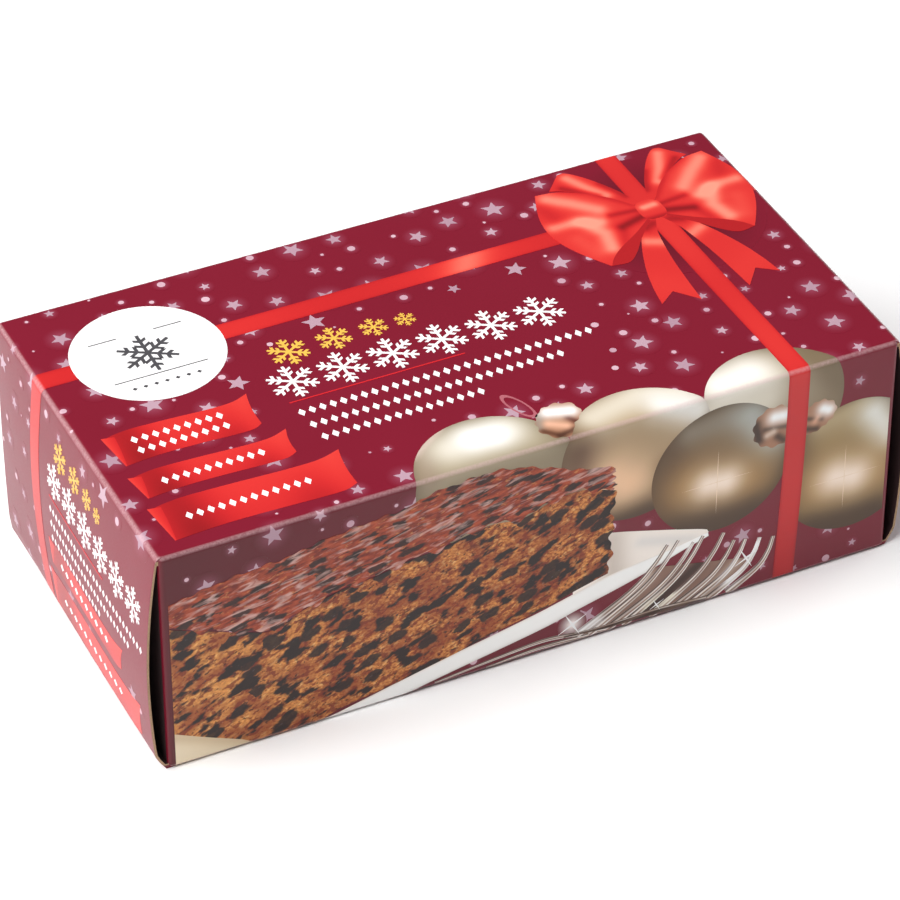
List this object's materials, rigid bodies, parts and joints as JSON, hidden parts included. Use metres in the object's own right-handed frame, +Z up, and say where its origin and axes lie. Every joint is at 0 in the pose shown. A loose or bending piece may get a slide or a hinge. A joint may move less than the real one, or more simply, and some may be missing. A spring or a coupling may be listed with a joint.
{
  "type": "fruit cake carton",
  "caption": "Shut oblong folding carton of printed boxboard for a fruit cake, with tucked end flaps that bow outwards.",
  "frame": {"origin": "middle of the carton's base, on the surface that it rests on", "axes": "+X along the carton from end flap to end flap, -Y out of the front panel, +Z up out of the top panel"},
  "size_m": [0.1744, 0.088, 0.055],
  "materials": {
    "printed_board": "folding boxboard printed in burgundy under a semi-gloss press varnish",
    "board_edge": "raw cut edge and unprinted inner side of the board, matt tan"
  },
  "bodies": {
    "root": {"carton": "printed_board"}
  },
  "joints": []
}
